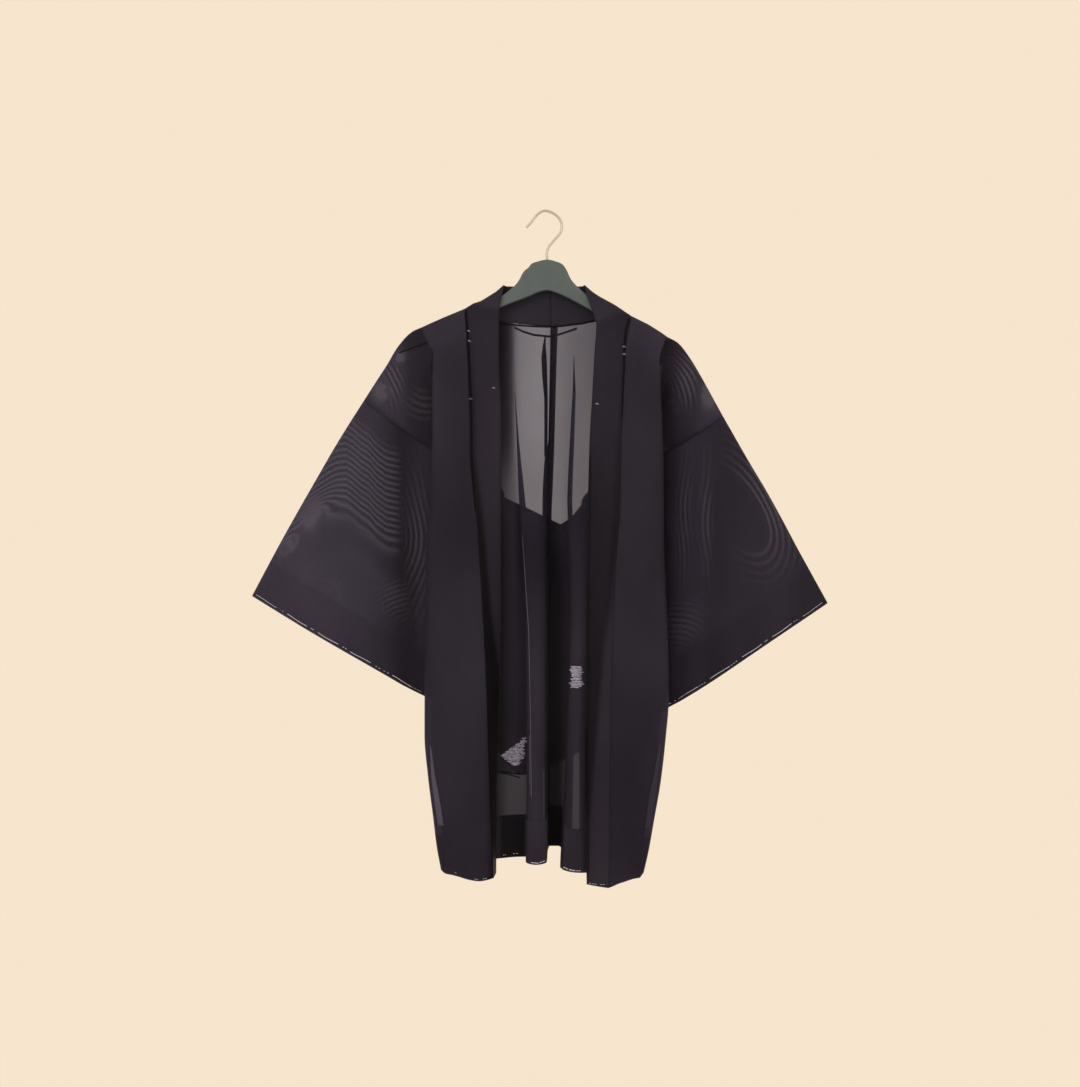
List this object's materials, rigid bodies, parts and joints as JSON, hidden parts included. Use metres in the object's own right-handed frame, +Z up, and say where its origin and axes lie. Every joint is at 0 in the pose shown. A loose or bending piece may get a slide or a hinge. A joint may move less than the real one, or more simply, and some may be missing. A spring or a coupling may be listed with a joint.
{
  "type": "haori jacket on a clothes hanger",
  "caption": "Unlined sheer summer haori jacket, open at the front, hanging from a plain wire-hook clothes hanger.",
  "frame": {"origin": "the inner top of the hanger's hook, where a rail carries it", "axes": "+X to the right as seen from the front, +Y to the back, +Z up"},
  "size_m": [0.8124, 0.1034, 0.9445],
  "materials": {
    "silk_gauze": "sheer dark purple-black silk gauze",
    "collar_silk": "the same silk in several layers",
    "hanger_grey": "satin grey-green",
    "hook_wire": "bright plated wire"
  },
  "bodies": {
    "root": {"body_left": "silk_gauze", "body_right": "silk_gauze", "sleeve_left": "silk_gauze", "sleeve_right": "silk_gauze", "gusset_left": "silk_gauze", "gusset_right": "silk_gauze", "collar_left": "collar_silk", "collar_right": "collar_silk", "hanger": "hanger_grey", "hook": "hook_wire"}
  },
  "joints": []
}
